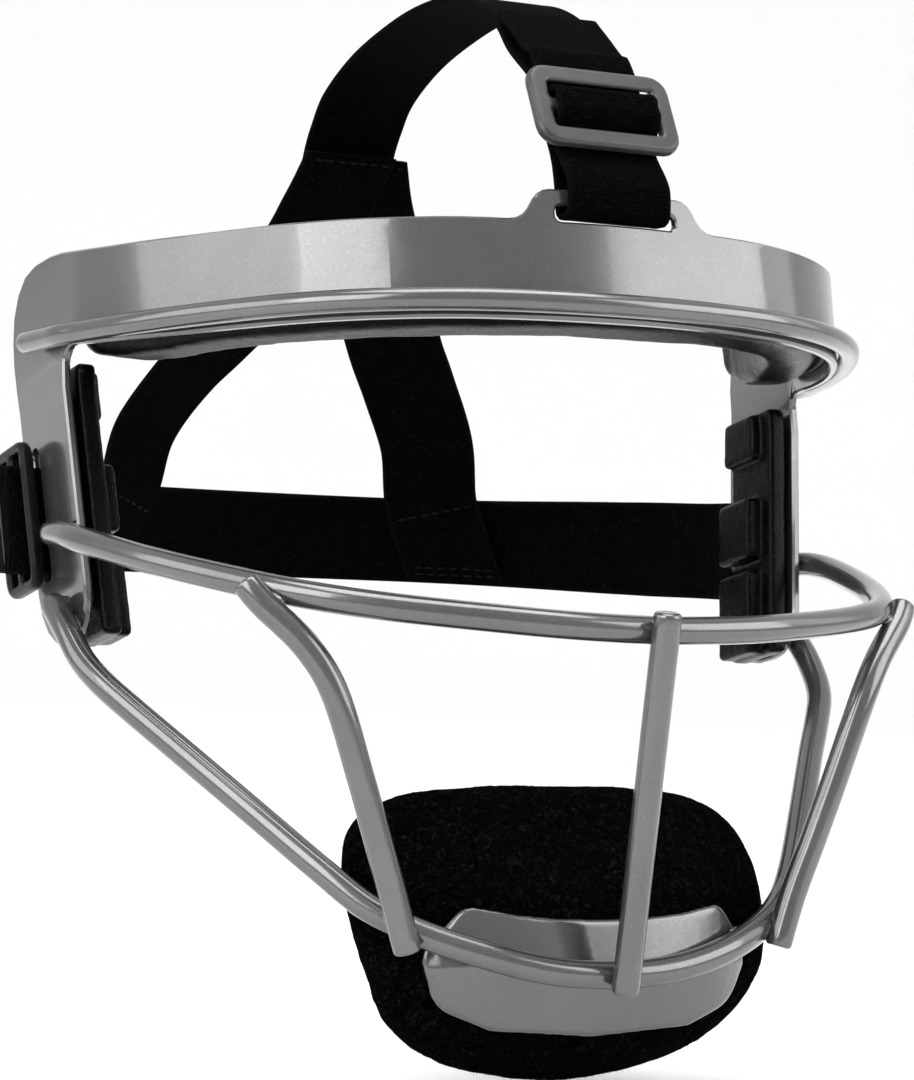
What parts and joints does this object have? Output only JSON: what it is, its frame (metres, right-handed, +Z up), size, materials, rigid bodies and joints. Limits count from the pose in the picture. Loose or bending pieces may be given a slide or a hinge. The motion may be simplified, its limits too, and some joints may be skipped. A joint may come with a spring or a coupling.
{
  "type": "fielder's face mask",
  "caption": "Open steel-wire face mask for fielding, with a bent brow plate, wire cage, padded brow, side and chin rests, and an adjustable elastic head harness.",
  "frame": {"origin": "middle of the brow pad's inner face, where the forehead rests", "axes": "+Y towards the back of the head (the mask's front faces -Y), +Z up as worn, +X the viewer's right when facing the mask's front"},
  "size_m": [0.2072, 0.2312, 0.245],
  "materials": {
    "powder_coated_steel": "glossy metallic-grey powder coat",
    "moulded_rubber": "black moulded rubber with a fine grain",
    "loop_felt": "black napped loop fabric over foam",
    "hook_tape": "black hook-and-loop tape",
    "elastic_webbing": "black woven elastic webbing",
    "buckle_plastic": "satin dark-grey plastic"
  },
  "bodies": {
    "frame": {"brow_plate": "powder_coated_steel", "brow_wire": "powder_coated_steel", "cheek_wire": "powder_coated_steel", "jaw_wire": "powder_coated_steel", "centre_vertical_wire": "powder_coated_steel", "left_vertical_wire": "powder_coated_steel", "right_vertical_wire": "powder_coated_steel", "chin_plate": "powder_coated_steel", "brow_pad": "moulded_rubber", "left_side_pad": "moulded_rubber", "right_side_pad": "moulded_rubber", "chin_pad": "loop_felt", "brow_tape": "hook_tape", "left_side_tape": "hook_tape", "right_side_tape": "hook_tape", "chin_tape": "hook_tape"},
    "harness": {"top_strap": "elastic_webbing", "back_strap": "elastic_webbing", "left_yoke_strap": "elastic_webbing", "right_yoke_strap": "elastic_webbing"},
    "top_buckle": {"top_buckle": "buckle_plastic"},
    "left_buckle": {"left_buckle": "buckle_plastic"},
    "right_buckle": {"right_buckle": "buckle_plastic"}
  },
  "joints": [
    {"name": "harness_stretch", "type": "slide", "parent": "frame", "child": "harness", "axis": [0, 1, 0], "range_m": [0, 0.03], "stiffness_N_per_m": 300, "deforming": ["top_strap", "back_strap"]},
    {"name": "top_buckle_slide", "type": "slide", "parent": "frame", "child": "top_buckle", "axis": [0, 0.5, 0.866], "range_m": [-0.005, 0.012], "deforming": ["top_strap"]},
    {"name": "left_buckle_slide", "type": "slide", "parent": "frame", "child": "left_buckle", "axis": [0, 1, 0], "range_m": [0, 0.02], "deforming": ["back_strap"]},
    {"name": "right_buckle_slide", "type": "slide", "parent": "frame", "child": "right_buckle", "axis": [0, 1, 0], "range_m": [0, 0.02], "deforming": ["back_strap"]}
  ]
}
